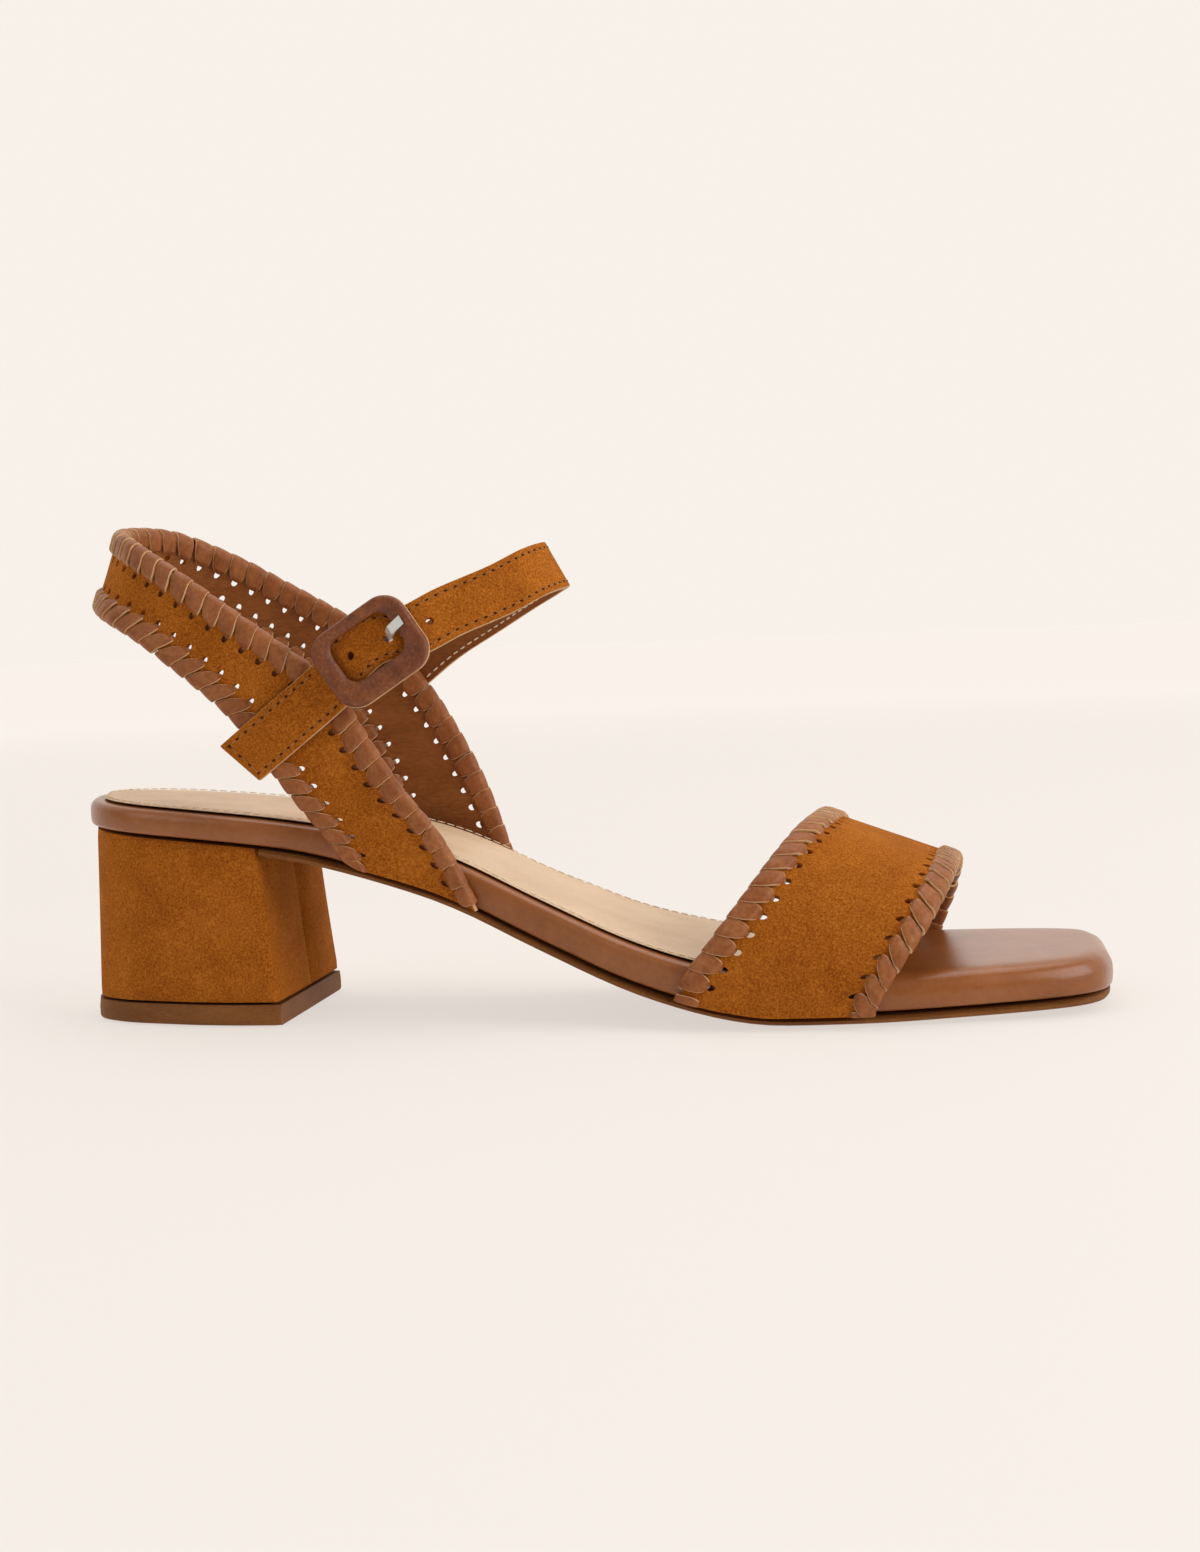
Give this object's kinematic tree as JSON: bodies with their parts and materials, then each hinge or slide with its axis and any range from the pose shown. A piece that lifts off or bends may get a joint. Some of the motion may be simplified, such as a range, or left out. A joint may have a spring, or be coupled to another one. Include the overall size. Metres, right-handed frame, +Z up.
{
  "type": "block heel sandal",
  "caption": "Woman's right sandal on a low block heel, with a laced toe strap, a laced quarter strap round the heel and a buckled ankle strap.",
  "frame": {"origin": "on the floor at the centre of the heel's tread", "axes": "+X to the toe, +Y to the inner side of the foot, +Z up"},
  "size_m": [0.2511, 0.0861, 0.122],
  "materials": {
    "suede": "suede nap",
    "lace_leather": "satin",
    "wrap_leather": "glossy",
    "sock_leather": "satin",
    "sole_leather": "matte",
    "buckle_leather": "satin",
    "nickel": "polished"
  },
  "bodies": {
    "root": {"outsole": "sole_leather", "heel_block": "suede", "heel_top_piece": "sole_leather", "footbed": "wrap_leather", "insole_sock": "sock_leather", "toe_strap": "suede", "quarter_strap": "suede", "ankle_strap": "suede", "buckle_frame": "buckle_leather", "buckle_prong": "nickel", "buckle_chape": "suede"}
  },
  "joints": []
}
